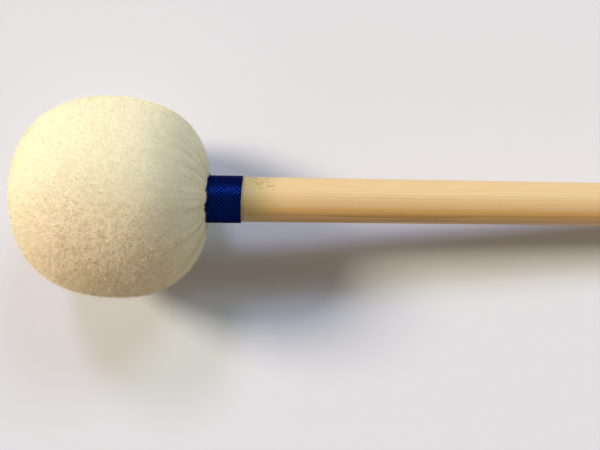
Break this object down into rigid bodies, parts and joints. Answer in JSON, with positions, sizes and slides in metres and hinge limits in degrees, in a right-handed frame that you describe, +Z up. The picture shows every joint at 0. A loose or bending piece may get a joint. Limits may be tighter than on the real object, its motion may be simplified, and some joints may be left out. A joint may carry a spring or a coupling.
{
  "type": "bass drum mallet",
  "caption": "Bass drum mallet: a soft fleece ball, gathered at the neck under a wound ribbon, on a plain turned wooden shaft.",
  "frame": {"origin": "on the table, under the middle of the mallet's box, as the mallet lies on its ball and the end of its shaft", "axes": "+X runs from the ball towards the butt, +Z is up from the table, and +Y is across the mallet; the shaft slopes down towards +X by about 5 degrees"},
  "size_m": [0.3793, 0.078, 0.0779],
  "materials": {
    "shaft_wood": "satin lacquer over straight fine grain",
    "core_wood": "turned, unfinished",
    "pin_wood": "unfinished",
    "felt_firm": "dense pressed felt",
    "felt_soft": "soft felt",
    "fleece": "long soft nap, matt",
    "thread": "waxed",
    "ribbon_satin": "satin weave with a narrow bright highlight"
  },
  "bodies": {
    "root": {"shaft": "shaft_wood", "head_core": "core_wood", "core_pin": "pin_wood", "felt_front_pad": "felt_firm", "felt_rear_collar": "felt_firm", "felt_wrap_inner": "felt_firm", "felt_wrap_outer": "felt_soft", "fleece_cover": "fleece", "neck_thread": "thread", "neck_ribbon": "ribbon_satin"}
  },
  "joints": []
}
